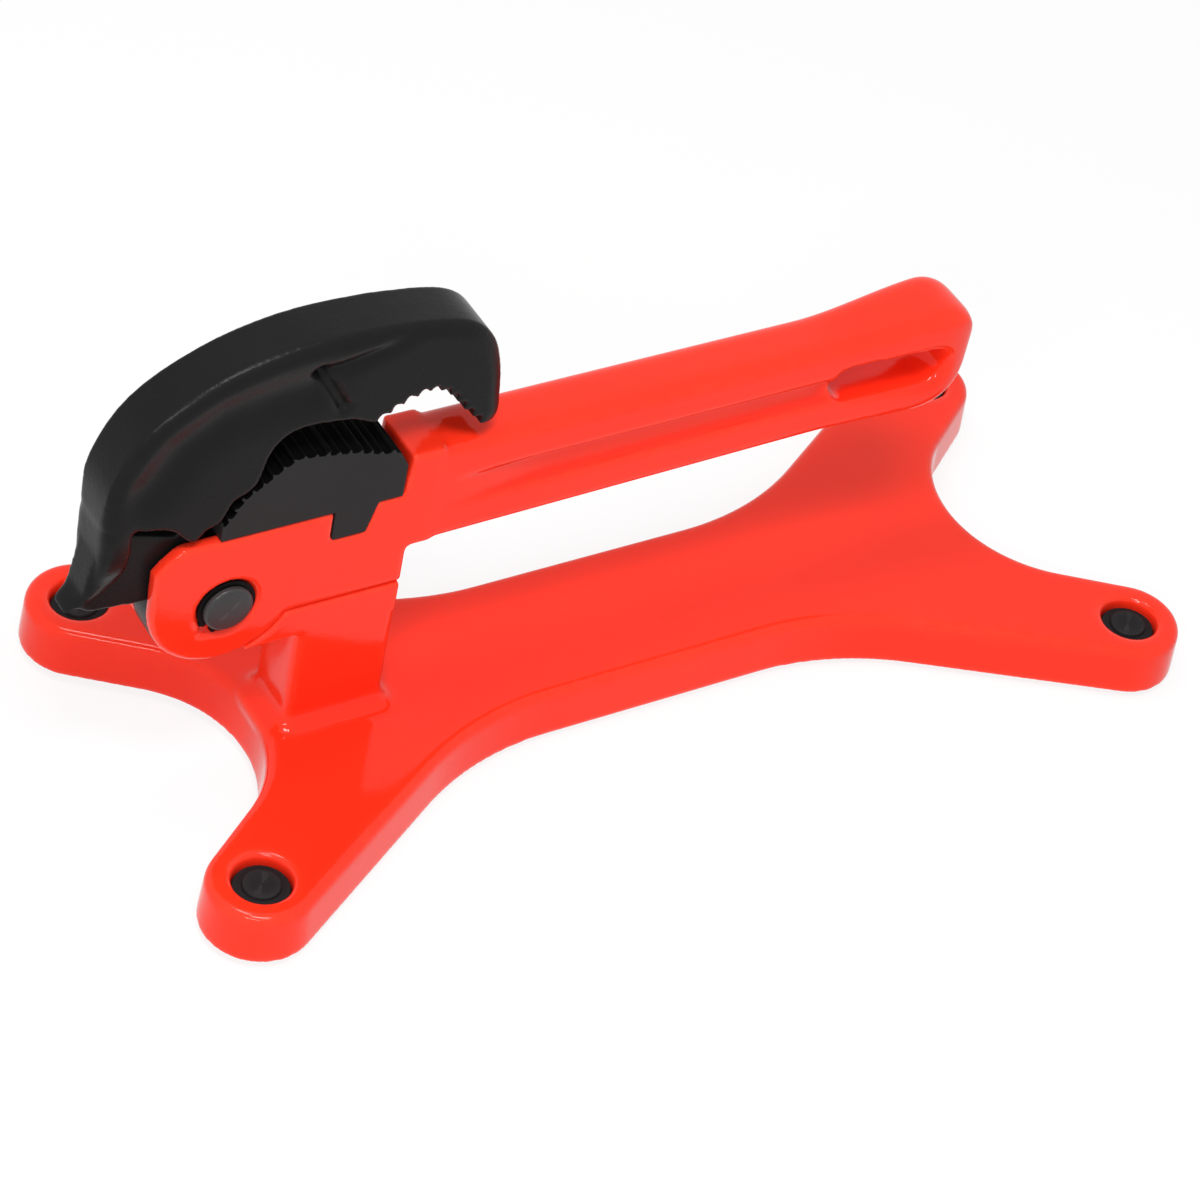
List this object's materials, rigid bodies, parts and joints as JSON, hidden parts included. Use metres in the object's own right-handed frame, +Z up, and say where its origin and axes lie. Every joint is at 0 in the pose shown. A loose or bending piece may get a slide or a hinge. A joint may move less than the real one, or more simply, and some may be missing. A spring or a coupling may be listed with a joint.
{
  "type": "portable pipe vise",
  "caption": "Portable pipe vise: a sprung pipe wrench head with its handle, fixed on an X-shaped cast base with rubber feet.",
  "frame": {"origin": "on the bench, under the middle of the tool's bounding box", "axes": "+X along the base towards the handle's free end, +Y across the base, +Z up"},
  "size_m": [0.4059, 0.1744, 0.1844],
  "materials": {
    "base_paint": "thick glossy red-orange enamel over a casting",
    "wrench_paint": "thick glossy red-orange enamel over a forging",
    "hook_black": "satin black coating over forged steel",
    "jaw_black": "matt dark grey hardened steel",
    "zinc": "zinc plated",
    "pin_black": "black oxide",
    "spring_steel": "dark oiled spring wire",
    "dowel_steel": "ground",
    "rubber": "matt black rubber"
  },
  "bodies": {
    "vise": {"base_casting": "base_paint", "wrench_body": "wrench_paint", "heel_jaw": "jaw_black", "heel_jaw_screw": "zinc", "pivot_pin": "pin_black", "retaining_ring_near": "pin_black", "retaining_ring_far": "pin_black", "hook_spring": "spring_steel", "body_screw": "zinc", "lock_washer": "zinc", "body_dowel": "dowel_steel", "foot_jaw_near": "rubber", "foot_jaw_far": "rubber", "foot_handle_near": "rubber", "foot_handle_far": "rubber"},
    "hook": {"hook_jaw": "hook_black"}
  },
  "joints": [
    {"name": "hook_swing", "type": "hinge", "parent": "vise", "child": "hook", "pos_m": [-0.1496, 0, 0.0844], "axis": [0, -1, 0], "range_deg": [0, 65], "stiffness_Nm_per_rad": 0.8, "springref_deg": -34.38, "deforming": ["hook_spring"]}
  ]
}
